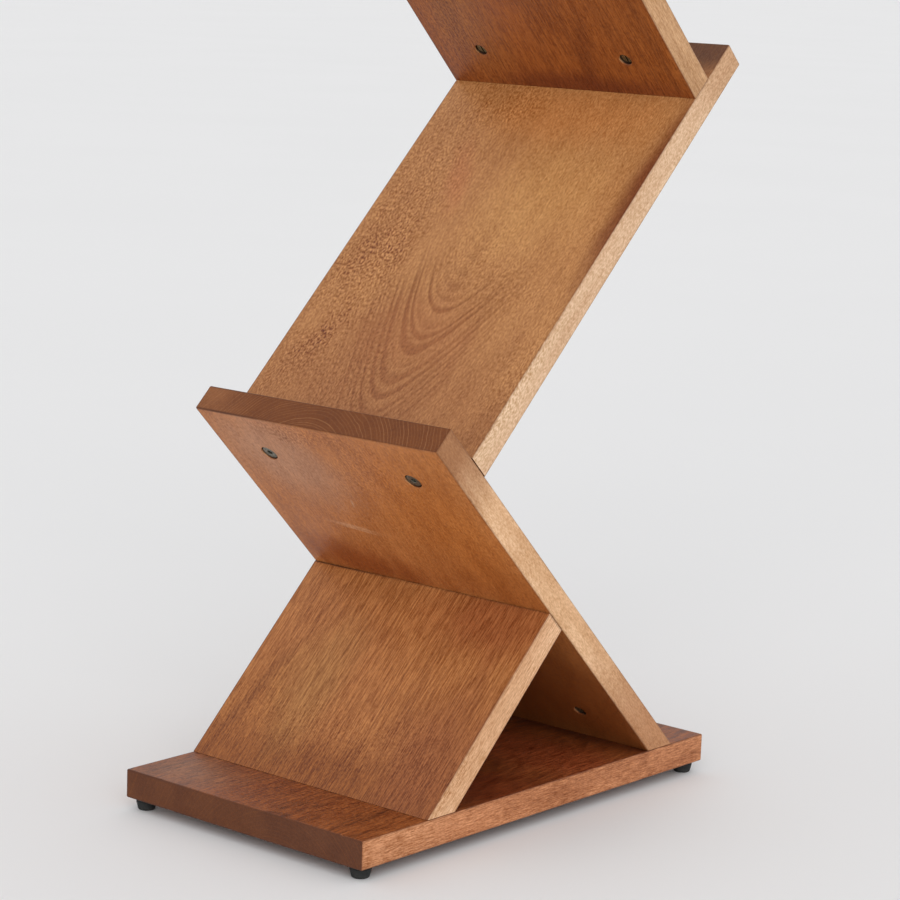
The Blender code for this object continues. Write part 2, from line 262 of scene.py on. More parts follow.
def woodFigureGroup():
    # growth rings, as nested cones round a leaning heart, and what shows of fibres, specks and rays
    # on any cut through them
    tree, given, out = newGroup(
        "woodFigure",
        {"Vector": (0.0, 0.0, 0.0), "Heart": (0.0, 0.0, -0.08), "Lean": (0.0, 0.0, 0.0), "Taper": 0.0,
         "Ring Width": 0.003, "Wobble": 0.004, "Fibre Draw": 0.1, "Seed": 0.0},
        ["Late Wood", "Ring Line", "Dash", "Fibre", "Streak", "Cloud", "Speck", "Pore"])
    place = split(tree, given["Vector"])
    seed = given["Seed"]
    moved = vectorSums(tree, "ADD", given["Vector"], joined(tree, seed, seed, seed))
    bend = vectorSums(tree, "SUBTRACT", grainNoise(tree, moved, "bend", "Color"), (0.5, 0.5, 0.5))
    bend = stretched(tree, bend, joined(tree, given["Wobble"], 0.0, given["Wobble"]))
    heart = vectorSums(tree, "MULTIPLY_ADD", given["Lean"],
                       joined(tree, place["Y"], place["Y"], place["Y"]), given["Heart"])
    fromHeart = vectorSums(tree, "ADD", vectorSums(tree, "SUBTRACT", given["Vector"], heart), bend)
    fromHeart = stretched(tree, fromHeart, (1.0, 0.0, 1.0))
    radius = vectorSums(tree, "LENGTH", fromHeart)

    # rings of uneven width, each darkening towards its outer edge
    cone = sums(tree, "SUBTRACT", radius, times(tree, given["Taper"], place["Y"]))
    uneven = noise(tree, joined(tree, cone, seed, 0.0), ringUnevenness["scale"], 1.0)
    count = sums(tree, "ADD", sums(tree, "DIVIDE", cone, given["Ring Width"]),
                 times(tree, uneven, ringUnevenness["amount"]))
    within = sums(tree, "FRACT", count)
    depth = addNode(tree, "ShaderNodeTexWhiteNoise", {"W": sums(tree, "FLOOR", count)},
                    noise_dimensions="1D").outputs["Value"]
    late = times(tree, spread(tree, within, 0.15, 0.75), spread(tree, within, 0.8, 1.0, 1.0, 0.0))
    late = times(tree, late, spread(tree, depth, 0.0, 1.0, 0.35, 1.0))
    line = times(tree, spread(tree, within, 0.62, 0.80), spread(tree, within, 0.82, 0.97, 1.0, 0.0))
    line = times(tree, line, spread(tree, depth, 0.0, 1.0, 0.3, 1.0))

    # rays run out from the heart in thin upright sheets
    across = split(tree, fromHeart)
    around = times(tree, sums(tree, "ARCTAN2", across["Z"], across["X"]), rayCell["radius"])
    raySpace = joined(tree, sums(tree, "DIVIDE", radius, rayCell["depth"]),
                      sums(tree, "DIVIDE", around, rayCell["width"]),
                      sums(tree, "DIVIDE", sums(tree, "ADD", place["Y"], seed), rayCell["length"]))
    cell = addNode(tree, "ShaderNodeTexVoronoi", {"Vector": raySpace, "Scale": 1.0}, feature="F1").outputs
    kept = spread(tree, split(tree, cell["Color"])["X"], 0.2, 0.75)
    dash = times(tree, spread(tree, cell["Distance"], 0.16, 0.5, 1.0, 0.0), kept)

    # fibres, streaks, clouds and pores along the board, each from -1 to 1
    fibre = noise(tree, stretched(tree, moved, joined(tree, 1.0, given["Fibre Draw"], 1.0)),
                  fibreScale, 1.0, 0.6)
    waves = {"Fibre": fibre, "Streak": grainNoise(tree, vectorSums(tree, "ADD", moved, bend), "streak"),
             "Cloud": grainNoise(tree, moved, "cloud"), "Pore": grainNoise(tree, moved, "pore")}
    results = {label: spread(tree, wave, 0.3, 0.7, -1.0, 1.0) for label, wave in waves.items()}
    results.update({"Late Wood": late, "Ring Line": line, "Dash": dash,
                    "Speck": grainNoise(tree, moved, "speck")})
    for label, value in results.items():
        tree.links.new(value, out[label])
    return tree


def stainZoneGroup():
    # a soft, ragged oval patch somewhere on a board
    tree, given, out = newGroup(
        "stainZone",
        {"Vector": (0.0, 0.0, 0.0), "Centre": (0.0, 0.0, 0.0), "Size": (0.05, 0.05, 0.05), "Turn": 0.0,
         "Ragged": 0.5, "Grain": 30.0},
        ["Mask"])
    centred = vectorSums(tree, "SUBTRACT", given["Vector"], given["Centre"])
    turned = addNode(tree, "ShaderNodeVectorRotate", {"Vector": centred, "Angle": given["Turn"]},
                     rotation_type="Z_AXIS").outputs[0]
    reach = vectorSums(tree, "LENGTH", vectorSums(tree, "DIVIDE", turned, given["Size"]))
    drawnOut = stretched(tree, given["Vector"], (1.0, 0.45, 1.0))
    drift = sums(tree, "SUBTRACT", noise(tree, drawnOut, given["Grain"], 4.0, 0.6), 0.5)
    ragged = sums(tree, "ADD", reach, times(tree, drift, given["Ragged"]))
    tree.links.new(spread(tree, ragged, 0.15, 1.0, 1.0, 0.0), out["Mask"])
    return tree


def edgeStainAndShadeGroup():
    # distance to the nearest edge of a box: the middle one of the three distances to its faces;
    # the smallest one tells the walls of holes from the box's own faces
    tree, given, out = newGroup(
        "edgeWear",
        {"Vector": (0.0, 0.0, 0.0), "Low": (-0.1, 0.0, -0.01), "High": (0.1, 0.4, 0.01), "Width": 0.003,
         "Ragged": 0.6, "Grain": 120.0},
        ["Edge", "Broken Edge", "Inside"])
    fromLow = vectorSums(tree, "SUBTRACT", given["Vector"], given["Low"])
    fromHigh = vectorSums(tree, "SUBTRACT", given["High"], given["Vector"])
    near = split(tree, vectorSums(tree, "MINIMUM", fromLow, fromHigh))
    smaller = sums(tree, "MINIMUM", near["X"], near["Y"])
    larger = sums(tree, "MAXIMUM", near["X"], near["Y"])
    middle = sums(tree, "MAXIMUM", smaller, sums(tree, "MINIMUM", larger, near["Z"]))
    share = sums(tree, "DIVIDE", middle, given["Width"])
    tree.links.new(spread(tree, share, 0.0, 1.0, 1.0, 0.0), out["Edge"])
    patchy = noise(tree, given["Vector"], given["Grain"], 4.0, 0.6)
    broken = timesPlus(tree, sums(tree, "SUBTRACT", 0.62, patchy), times(tree, given["Ragged"], 6.0), share)
    tree.links.new(spread(tree, broken, 0.2, 1.2, 1.0, 0.0), out["Broken Edge"])
    deep = sums(tree, "MINIMUM", smaller, near["Z"])
    tree.links.new(spread(tree, deep, 0.0004, 0.0016), out["Inside"])
    return tree


def scratchGroup():
    # fine marks in two directions and a cloudy film, for metal
    tree, given, out = newGroup("scratches", {"Vector": (0.0, 0.0, 0.0), "Fineness": 2600.0, "Film": 260.0},
                                ["Marks", "Film"])
    firstWay = stretched(tree, given["Vector"], (1.0, 0.06, 0.3))
    first = noise(tree, firstWay, given["Fineness"], 2.0)
    turned = addNode(tree, "ShaderNodeVectorRotate", {"Vector": given["Vector"], "Angle": 1.1},
                     rotation_type="Z_AXIS").outputs[0]
    second = noise(tree, stretched(tree, turned, (1.0, 0.05, 0.3)), given["Fineness"], 2.0)
    marks = sums(tree, "MAXIMUM", spread(tree, first, 0.56, 0.72), spread(tree, second, 0.58, 0.74))
    film = noise(tree, given["Vector"], given["Film"], 5.0, 0.65)
    tree.links.new(marks, out["Marks"])
    tree.links.new(spread(tree, film, 0.35, 0.7), out["Film"])
    return tree


woodFigure = woodFigureGroup()
stainZone = stainZoneGroup()
edgeWear = edgeStainAndShadeGroup()
scratches = scratchGroup()
print("shader groups built")


# boards: lean is the turn about X that takes a flat board to its place, so that its +Z is its front face

boardWork = {"arris": 0.0012, "arrisSteps": 4, "mouthChamfer": 0.0004, "overcut": 0.004,
             "headClearance": 0.0008, "shankClearance": 0.0005, "nutClearance": 0.0003,
             "tipRoom": 0.002, "wellReach": 0.024, "holeFacets": 48, "pilotDepth": 0.0123,
             "pilotRadius": 0.0018}

boardLayout = {
    "base_board": {"piece": "baseBoard", "lean": 0.0, "foot": "round", "head": "round"},
    "strut_board": {"piece": "strutBoard", "lean": 45.0, "foot": "mitred", "head": "square"},
    "lower_board": {"piece": "lowerBoard", "lean": 135.0, "foot": "mitred", "head": "round"},
    "middle_board": {"piece": "middleBoard", "lean": 45.0, "foot": "square", "head": "round"},
    "upper_board": {"piece": "upperBoard", "lean": 135.0, "foot": "square", "head": "round"},
    "top_board": {"piece": "topBoard", "lean": 45.0, "foot": "square", "head": "round"},
}

baseLow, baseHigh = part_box("base_board")
halfWidth = (baseHigh.x - baseLow.x) / 2.0
thickness = baseHigh.z - baseLow.z
halfThick = thickness / 2.0
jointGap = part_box("strut_board")[0].z - baseHigh.z


def boardPlan(node, layout):
    # where a board's own frame stands, and how far the wood runs along its +Y on each face
    low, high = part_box(node)
    if layout["lean"] == 0.0:
        matrix = Matrix.Translation((0.0, low.y, (low.z + high.z) / 2.0))
        return {"matrix": matrix, "front": 0.0, "back": 0.0, "top": high.y - low.y}
    rearward = layout["lean"] < 90.0
    mitred = layout["foot"] == "mitred"
    setIn = thickness * slope - jointGap if mitred else halfThick * slope
    footY = low.y + setIn if rearward else high.y - setIn
    footZ = low.z - jointGap if mitred else low.z + halfThick * slope
    crest = high.z + (boardWork["arris"] * roundingLoss if layout["head"] == "round" else 0.0)
    matrix = Matrix.Translation((0.0, footY, footZ)) @ Matrix.Rotation(math.radians(layout["lean"]), 4, "X")
    lift = jointGap / slope if mitred else 0.0
    cut = (-halfThick if rearward else halfThick) if mitred else 0.0
    return {"matrix": matrix, "front": lift + cut, "back": lift - cut,
            "top": (crest - footZ) / slope - halfThick}


def boardMesh(name, plan, layout):
    bm = bmesh.new()
    outline = [(plan["front"], halfThick), (plan["top"], halfThick),
               (plan["top"], -halfThick), (plan["back"], -halfThick)]
    left = [bm.verts.new((-halfWidth, y, z)) for y, z in outline]
    right = [bm.verts.new((halfWidth, y, z)) for y, z in outline]
    bm.faces.new(left)
    bm.faces.new(list(reversed(right)))
    walls = []
    for step in range(4):
        after = (step + 1) % 4
        walls.append(bm.faces.new((left[step], right[step], right[after], left[after])))
    keptSharp = set()
    if layout["head"] != "round":
        keptSharp.update(walls[1].edges)
    if layout["foot"] != "round":
        keptSharp.update(walls[3].edges)
    exposed = [edge for edge in bm.edges if edge not in keptSharp]
    bmesh.ops.bevel(bm, geom=exposed, offset=boardWork["arris"], segments=boardWork["arrisSteps"],
                    profile=0.5, affect="EDGES")
    return meshFrom(name, bm)


plans = {node: boardPlan(node, layout) for node, layout in boardLayout.items()}
print("board places read from the frame")


# bolted joints: through is the board under the bolt's head, end the board that holds the barrel nut

jointLayout = {
    "base_strut": {"through": "base_board", "end": "strut_board"},
    "base_lower": {"through": "base_board", "end": "lower_board"},
    "strut_lower": {"through": "lower_board", "end": "strut_board"},
    "lower_middle": {"through": "lower_board", "end": "middle_board"},
    "middle_upper": {"through": "middle_board", "end": "upper_board"},
    "upper_top": {"through": "upper_board", "end": "top_board"},
}

boltShape = {"headChamfer": 0.0004, "headHeight": 0.0026, "headEdge": 0.0002, "crown": 0.00007,
             "fillet": 0.0003, "radius": 0.003, "tipChamfer": 0.0008, "tipInset": 0.0004,
             "socketFlats": 0.004, "socketDepth": 0.0018, "socketChamfer": 0.0003,
             "pitch": 0.001, "threadDepth": 0.00055, "threadLength": 0.034, "facets": 36,
             "ringsPerPitch": 6}
nutShape = {"chamfer": 0.0005, "slotWidth": 0.0014, "slotDepth": 0.0016, "boreRoom": 0.0001,
            "flare": 0.0012, "overcut": 0.002, "facets": 64}


def middleOf(node):
    low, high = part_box(node)
    return (low + high) / 2.0


def boltPlan(joint, side):
    # the bolt's axis passes through its nut, along the end board
    layout = jointLayout[joint]
    nut = middleOf("barrel_nut_%s_%s" % (joint, side))
    low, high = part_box("bolt_%s_%s" % (joint, side))
    along = plans[layout["end"]]["matrix"].to_3x3() @ Vector((0.0, 1.0, 0.0))
    if joint == "strut_lower":
        along = -along                      # its nut is at the strut's upper end
    headRadius = (high.x - low.x) / 2.0
    rim = (headRadius - boltShape["headChamfer"]) * slope
    headZ = low.z + rim if along.z > 0.0 else high.z - rim
    head = nut + along * ((headZ - nut.z) / along.z)
    tipRim = boltShape["radius"] - boltShape["tipChamfer"]
    length = (high.z - low.z) / slope - (headRadius - boltShape["headChamfer"]) - tipRim
    turn = Matrix.Rotation(math.atan2(-along.y, along.z), 4, "X")
    return {"matrix": Matrix.Translation(head) @ turn, "head": head, "nut": nut, "headRadius": headRadius,
            "length": length}


def boltCutter(plan, through):
    local = plans[through]["matrix"].inverted() @ plan["head"]
    radius = plan["headRadius"] + boardWork["headClearance"]
    shank = boltShape["radius"] + boardWork["shankClearance"]
    seat = boltShape["headHeight"] + boardWork["nutClearance"]
    chamfer = boardWork["mouthChamfer"]
    end = (shank, plan["length"] + boardWork["tipRoom"])
    if through == "base_board":             # leans 45 degrees, so its mouth runs out below the board
        profile = [(radius, -boardWork["wellReach"]), (radius, seat), (shank, seat), end]
    else:
        face = abs(local.z) - halfThick     # the board's face, measured down the bolt from its head
        reach = boardWork["overcut"]
        profile = [(radius + chamfer + reach, face - reach), (radius, face + chamfer),
                   (radius, seat), (shank, seat), end]
    bm = bmesh.new()
    addTurned(bm, profile, boardWork["holeFacets"], place=plan["matrix"])
    return helperObject("boltHole", bm)


def nutMatrix(joint, nut):
    # +Z out of the end board's under face
    board = plans[jointLayout[joint]["end"]]["matrix"].to_3x3()
    under = board @ Vector((0.0, 0.0, 1.0))
    under = -under if under.z > 0.0 else under
    turn = Matrix.Rotation(math.atan2(-under.y, under.z), 4, "X")
    return Matrix.Translation(nut) @ turn


def nutSize(node):
    low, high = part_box(node)
    radius = (high.x - low.x) / 2.0
    return radius, (high.z - low.z) / slope - 2.0 * radius


def nutCutter(joint, nut, radius, length):
    hole = radius + boardWork["nutClearance"]
    chamfer = boardWork["mouthChamfer"]
    reach = boardWork["overcut"]
    bm = bmesh.new()
    profile = [(hole, -length / 2.0 - boardWork["nutClearance"]), (hole, halfThick - chamfer),
               (hole + chamfer + reach, halfThick + reach)]
    addTurned(bm, profile, boardWork["holeFacets"], place=nutMatrix(joint, nut))
    return helperObject("nutHole", bm)


def pilotCutter(foot):
    centre = middleOf(foot)
    bm = bmesh.new()
    radius = boardWork["pilotRadius"]
    start = Matrix.Translation((centre.x, centre.y, baseLow.z))
    addTurned(bm, [(radius, -boardWork["overcut"]), (radius, boardWork["pilotDepth"])],
              boardWork["holeFacets"], place=start)
    return helperObject("pilotHole", bm)


pebbleShape = {"long": 1.8, "tall": 0.7, "shortest": 0.8, "longest": 1.15}


def dentCutter(plan, dent):
    # a small rough pebble that takes a chip off an edge
    x, y, z, size = dent
    rand = random.Random(round(x * 10000.0) + 7)
    bm = bmesh.new()
    bmesh.ops.create_icosphere(bm, subdivisions=2, radius=1.0)
    for vert in bm.verts:
        vert.co *= rand.uniform(pebbleShape["shortest"], pebbleShape["longest"])
        reach = Vector((vert.co.x * pebbleShape["long"], vert.co.y, vert.co.z * pebbleShape["tall"])) * size
        vert.co = plan["matrix"] @ (reach + Vector((x, y, z)))
    return helperObject("dent", bm)


# chips on the boards' edges, in each board's own frame, with the radius of the pebble
dents = {
    "base_board": [(-0.0836, 0.0, halfThick, 0.0011), (0.047, 0.0, halfThick, 0.0010),
                   (0.1006, -0.0001, halfThick, 0.0012), (-0.1195, 0.003, halfThick, 0.0010)],
    "lower_board": [(-0.031, plans["lower_board"]["top"], halfThick, 0.0009),
                    (0.0655, plans["lower_board"]["top"] + 0.0001, halfThick, 0.0008)],
    "strut_board": [],
    "middle_board": [(halfWidth, 0.262, halfThick, 0.0009)],
    "upper_board": [(0.052, plans["upper_board"]["top"], halfThick, 0.0009)],
    "top_board": [(-0.07, plans["top_board"]["top"], halfThick, 0.0009)],
}


# wood

woodFinish = {"bumpDepth": 0.00006, "roughness": 0.5, "gloss": 0.3, "coat": 0.04, "coatRoughness": 0.35,
              # the edge tone darkens the arrises with stain and painted shade; the hole tone is painted
              # shade in holes
              "edgeTone": "#4f2813", "edgeWidth": 0.0022, "holeTone": "#20140c", "holeShadeStrength": 0.9,
              "grainShares": (0.72, 1.0, 1.4), "darkest": 0.05,      # grain on red, green and blue
              "figureElsewhere": 0.12, "mottleRagged": 1.4, "mottleContrast": 0.55, "mottleShade": -0.22,
              "sideLateShare": 0.35, "sideStreak": 0.25, "ownStreak": 0.3, "sideCalm": -0.35,
              "poreShare": 0.05, "sideDashes": 0.7, "ringLineShare": 0.75, "endSpeck": 0.12}

# Each board's figure and stain. The rings have their heart at (x, y, z), lean by metres per metre up the
# board, and show most at figureAt (x, y, width, length). early and late are the face's two tones, side and
# sideLate the sides', end and endLine the ends', back (tone, strength) painted shade on the back, which
# faces away from the light. tints (tone, strength, x, y, width, length, turn, ragged) are patches of
# another tone on the front, some of them painted shade or painted light, sideTints (tone, strength, y,
# length) on the sides, endTints (tone, strength, x, width) on the ends; grain is coarser in the mottles
# (strength, x, y, width, length, turn).
# back: painted shade on each board's back face, which is turned away from the light
plainLook = {"taper": 0.0, "wobble": 0.005, "figureAt": None, "back": ("#935528", 0.5), "speck": 0.14,
             "sideTints": [], "endTints": []}
boardLooks = {
    "base_board": {
        "heart": (0.036, 0.0, -0.062), "lean": (0.02, 0.0, -0.16), "ringWidth": 0.0030, "seed": 3.1,
        "early": "#8c4b20", "late": "#5c2c10", "side": "#c28054", "sideLate": "#98582f", "end": "#5d3012",
        "endLine": "#693814", "back": ("#5d3013", 0.5), "figure": 0.6, "fibre": 0.6, "fibreDraw": 0.06,
        "speck": 0.18, "cloud": 0.16, "dash": 0.5, "streak": 0.45,
        "tints": [("#895838", 0.75, -0.085, 0.03, 0.07, 0.06, 0.0, 0.7),
                  # painted shade and painted bounce light where the boards above shade the base: darker at
                  # y 0.16, lighter red at 0.26 and a dark painted contact shadow at 0.335
                  ("#783313", 0.85, 0.08, 0.16, 0.13, 0.075, 0.0, 0.7),
                  ("#9a4b26", 0.9, 0.05, 0.262, 0.25, 0.065, 0.0, 0.7),
                  ("#5a2610", 0.8, 0.05, 0.335, 0.3, 0.025, 0.0, 0.5)],
        "sideTints": [("#c4875c", 0.6, 0.02, 0.12)], "endTints": [("#58301a", 0.6, 0.09, 0.1)],
        "mottles": [(0.5, 0.03, 0.05, 0.13, 0.05, 0.0)]},
    "strut_board": {
        "heart": (0.21, 0.0, -0.11), "lean": (0.03, 0.0, 0.0), "ringWidth": 0.0036, "seed": 8.7,
        "early": "#a86a38", "late": "#743d19", "side": "#e2b48b", "sideLate": "#c59166", "end": "#7a4526",
        "endLine": "#94603c", "back": ("#8f4f28", 0.55), "figure": 0.3, "fibre": 0.44, "fibreDraw": 0.05,
        "cloud": 0.05, "dash": 0.1, "streak": 0.1,
        "tints": [("#9c5f2c", 0.7, -0.09, 0.03, 0.07, 0.09, 0.0, 0.9),
                  ("#894d20", 0.9, 0.0, -0.004, 0.4, 0.05, 0.0, 0.5),
                  ("#8a4d28", 0.75, 0.1, 0.03, 0.08, 0.1, 0.0, 0.9),
                  ("#6f3a18", 0.3, -0.096, 0.06, 0.009, 0.11, 0.2, 0.7),
                  ("#a27640", 0.35, -0.05, 0.07, 0.045, 0.09, 0.0, 0.9),
                  ("#8e4a24", 0.65, 0.08, 0.16, 0.09, 0.05, 0.0, 1.0)],
        "sideTints": [("#cc986c", 0.6, 0.08, 0.12)],
        "mottles": [(0.15, -0.085, 0.1, 0.04, 0.1, 0.0), (0.3, 0.0, 0.025, 0.35, 0.06, 0.0)]},
    "lower_board": {
        "heart": (-0.01, 0.0, 0.060), "lean": (0.02, 0.0, -0.02), "ringWidth": 0.0028, "wobble": 0.014,
        "seed": 1.3, "early": "#b8733c", "late": "#8e4f24", "side": "#e9be94", "sideLate": "#cb9a6c",
        "end": "#6d380f", "endLine": "#95623a", "back": ("#935528", 0.4), "figure": 0.2, "fibre": 0.18,
        "fibreDraw": 0.12, "speck": 0.15, "cloud": 0.13, "dash": 0.4, "streak": 0.24,
        "tints": [("#b38160", 0.75, -0.065, 0.345, 0.085, 0.075, 0.5, 0.8),
                  ("#b5692a", 0.6, 0.07, 0.29, 0.08, 0.12, 0.0, 1.0),
                  ("#874012", 0.85, -0.055, 0.212, 0.1, 0.04, 0.15, 0.9),
                  ("#9c561f", 0.5, 0.08, 0.22, 0.09, 0.05, 0.0, 0.9),
                  ("#d8ab84", 0.45, -0.038, 0.2635, 0.036, 0.0045, 0.08, 1.2),     # three pale scuffs
                  ("#dcb695", 0.25, -0.030, 0.2600, 0.026, 0.0014, 0.10, 0.4),
                  # painted shade: darker across the whole width near the foot on the base, where shade
                  # falls
                  ("#7c4018", 0.9, 0.0, 0.065, 0.5, 0.15, 0.0, 0.4),
                  ("#dcb695", 0.4, -0.017, 0.298, 0.0016, 0.008, 0.3, 0.3)],
        "sideTints": [("#9a653c", 0.95, 0.385, 0.09), ("#ab744a", 0.9, 0.0, 0.17)],
        "endTints": [("#8c5630", 0.7, -0.115, 0.05)],
        "mottles": [(0.6, -0.01, 0.378, 0.07, 0.02, 0.0), (0.3, 0.02, 0.345, 0.05, 0.05, 0.0)]},
    "middle_board": {
        "heart": (0.004, 0.0, -0.022), "lean": (0.05, 0.0, 0.0), "taper": 0.30, "ringWidth": 0.0040,
        "seed": 5.2, "early": "#b67e4b", "late": "#864d20", "side": "#dfba95", "sideLate": "#c99c76",
        "end": "#7a4a2c", "endLine": "#a27352", "figure": 1.3, "figureAt": (0.0, 0.08, 0.095, 0.135),
        "fibre": 0.2, "fibreDraw": 0.14, "speck": 0.2, "cloud": 0.07, "dash": 0.2, "streak": 0.18,
        "tints": [("#c69055", 0.65, 0.035, 0.235, 0.075, 0.09, 0.1, 0.8),
                  # painted bounce light: warmer and lighter near the top, under the upper board's overhang
                  ("#c07c42", 0.6, 0.02, 0.33, 0.13, 0.05, 0.0, 0.8),
                  ("#b3683f", 0.4, -0.052, 0.25, 0.018, 0.06, -0.36, 1.0),
                  ("#784020", 1.0, 0.121, 0.265, 0.021, 0.15, 0.0, 0.7),
                  ("#8a5228", 0.5, 0.112, 0.03, 0.03, 0.05, 0.0, 1.2),
                  ("#9a6138", 0.6, -0.01, 0.035, 0.22, 0.12, 0.0, 0.7),
                  ("#a4663a", 0.5, 0.0, 0.10, 0.08, 0.055, 0.0, 0.8),
                  # partly a darker stain, partly painted shade: the strip in the corner above the upper
                  # board's joint
                  ("#5c3621", 0.9, 0.06, 0.402, 0.5, 0.034, 0.0, 0.3)],
        "sideTints": [("#bf9169", 0.7, 0.40, 0.07)],
        "mottles": [(0.5, -0.09, 0.22, 0.065, 0.24, 0.05), (0.5, -0.08, 0.15, 0.05, 0.1, 0.0),
                    (0.25, 0.03, 0.165, 0.08, 0.045, 0.6), (0.35, 0.112, 0.06, 0.03, 0.08, 0.0),
                    (0.3, -0.04, 0.335, 0.05, 0.04, 0.0), (0.35, -0.05, 0.055, 0.13, 0.07, 0.0)]},
    "upper_board": {
        "heart": (-0.2, 0.0, 0.13), "lean": (-0.03, 0.0, 0.0), "ringWidth": 0.0034, "seed": 11.9,
        "early": "#94501e", "late": "#653012", "side": "#c6986c", "sideLate": "#a87b52", "end": "#6f3f24",
        "endLine": "#8a5838", "back": ("#8a4a20", 0.3), "figure": 0.3, "fibre": 0.36, "fibreDraw": 0.06,
        "cloud": 0.10, "dash": 0.3, "streak": 0.3,
        "tints": [("#985e2a", 0.5, -0.075, 0.07, 0.05, 0.1, 0.0, 0.9),
                  ("#6a3110", 0.6, 0.037, 0.045, 0.012, 0.06, 0.28, 0.5),
                  ("#6b2f14", 0.75, 0.02, 0.004, 0.14, 0.022, 0.0, 0.6)],
        "mottles": [(0.35, -0.09, 0.08, 0.06, 0.16, 0.0)]},
    "top_board": {
        "heart": (-0.02, 0.0, 0.004), "lean": (0.02, 0.0, 0.0), "taper": 0.25, "ringWidth": 0.0033,
        "seed": 14.6, "early": "#b27b49", "late": "#8a552b", "side": "#d8ac82", "sideLate": "#c09064",
        "end": "#774728", "endLine": "#94603f", "figure": 0.6, "figureAt": (-0.02, 0.2, 0.09, 0.16),
        "fibre": 0.15, "fibreDraw": 0.25, "speck": 0.18, "cloud": 0.07, "dash": 0.25, "streak": 0.2,
        "tints": [("#c18b54", 0.5, 0.03, 0.2, 0.06, 0.12, 0.0, 0.7),
                  ("#a5653a", 0.4, -0.07, 0.3, 0.05, 0.1, 0.0, 0.9)],
        "mottles": [(0.6, 0.085, 0.3, 0.04, 0.1, 0.0)]},
}
boundless = 10.0        # a patch this wide covers the board from one edge to the other
throughBoard = 0.2


def zone(tree, place, x, y, width, length, turn=0.0, ragged=0.7, depth=0.02):
    return useGroup(tree, stainZone, vector=place, centre=(x, y, halfThick), turn=turn, ragged=ragged,
                    size=(width, length, depth))["Mask"]


def patched(tree, colour, tone, strength, mask):
    return mixed(tree, times(tree, mask, strength), colour, linear(tone))


def grained(tree, colour, grain):
    # hollows darken towards red, crests pale towards blue
    channels = [sums(tree, "MAXIMUM", timesPlus(tree, grain, share, 1.0), woodFinish["darkest"])
                for share in woodFinish["grainShares"]]
    return mixed(tree, 1.0, colour, joined(tree, *channels), "MULTIPLY")


def faceTone(tree, place, normal, figure, look):
    # rings and streaks between two tones, then the stain's patches, some of them painted shade or painted
    # light, and painted shade on the back
    showing = times(tree, figure["Late Wood"], look["figure"])
    if look["figureAt"]:
        spot = zone(tree, place, *look["figureAt"], depth=throughBoard)
        showing = times(tree, showing, sums(tree, "ADD", spot, woodFinish["figureElsewhere"]))
    showing = timesPlus(tree, figure["Streak"], look["streak"], showing)
    showing = sums(tree, "MAXIMUM", showing, 0.0)
    colour = mixed(tree, showing, linear(look["early"]), linear(look["late"]))
    for tone, strength, *where in look["tints"]:
        colour = patched(tree, colour, tone, strength, zone(tree, place, *where))
    # painted shade: the back face, turned away from the light, takes the darker back tone
    onBackShade = spread(tree, split(tree, normal)["Z"], -0.5, -0.9)
    return patched(tree, colour, *look["back"], onBackShade)


def sideTone(tree, place, figure, look):
    amount = woodFinish["sideStreak"] + woodFinish["ownStreak"] * look["streak"]
    showing = timesPlus(tree, figure["Streak"], amount, woodFinish["sideLateShare"])
    colour = mixed(tree, showing, linear(look["side"]), linear(look["sideLate"]))
    for tone, strength, y, length in look["sideTints"]:
        mask = zone(tree, place, 0.0, y, boundless, length, depth=boundless)
        colour = patched(tree, colour, tone, strength, mask)
    return colour


def fineGrain(tree, place, figure, look, onSide, specks):
    blotchy = 0.0
    for strength, *where in look["mottles"]:
        spot = zone(tree, place, *where, ragged=woodFinish["mottleRagged"])
        blotchy = timesPlus(tree, spot, strength, blotchy)
    fibre = timesPlus(tree, onSide, woodFinish["sideCalm"] * look["fibre"], look["fibre"])
    speck = timesPlus(tree, blotchy, woodFinish["mottleContrast"], look["speck"])
    grain = times(tree, figure["Fibre"], fibre)
    grain = timesPlus(tree, specks, speck, grain)
    grain = timesPlus(tree, figure["Pore"], woodFinish["poreShare"], grain)
    grain = timesPlus(tree, figure["Cloud"], look["cloud"], grain)
    return timesPlus(tree, blotchy, woodFinish["mottleShade"], grain)


def endTone(tree, place, figure, look, specks):
    # darker, with pale ring lines
    colour = linear(look["end"])
    for tone, strength, x, width in look["endTints"]:
        mask = zone(tree, place, x, 0.0, width, boundless, depth=boundless)
        colour = patched(tree, colour, tone, strength, mask)
    colour = patched(tree, colour, look["endLine"], woodFinish["ringLineShare"], figure["Ring Line"])
    speck = times(tree, specks, woodFinish["endSpeck"])
    return grained(tree, colour, timesPlus(tree, figure["Cloud"], look["cloud"], speck))


def stainedAndShadedEdges(tree, place, colour, low, high):
    # stain has gathered along the arrises, with painted shade darkening them most at the left, away from
    # the light, and the holes' walls are painted dark as painted shade
    worn = useGroup(tree, edgeWear, vector=place, low=low, high=high, width=woodFinish["edgeWidth"],
                    ragged=0.5)
    # painted shade: the arrises are darkened more towards the left, away from the light
    leftArrisShade = spread(tree, split(tree, place)["X"], -0.09, -0.03, 0.9, 0.3)
    amount = timesPlus(tree, worn["Broken Edge"], 0.2, leftArrisShade)
    colour = patched(tree, colour, woodFinish["edgeTone"], amount, worn["Edge"])
    # painted shade: the walls of the holes are painted nearly black
    return patched(tree, colour, woodFinish["holeTone"], woodFinish["holeShadeStrength"], worn["Inside"])


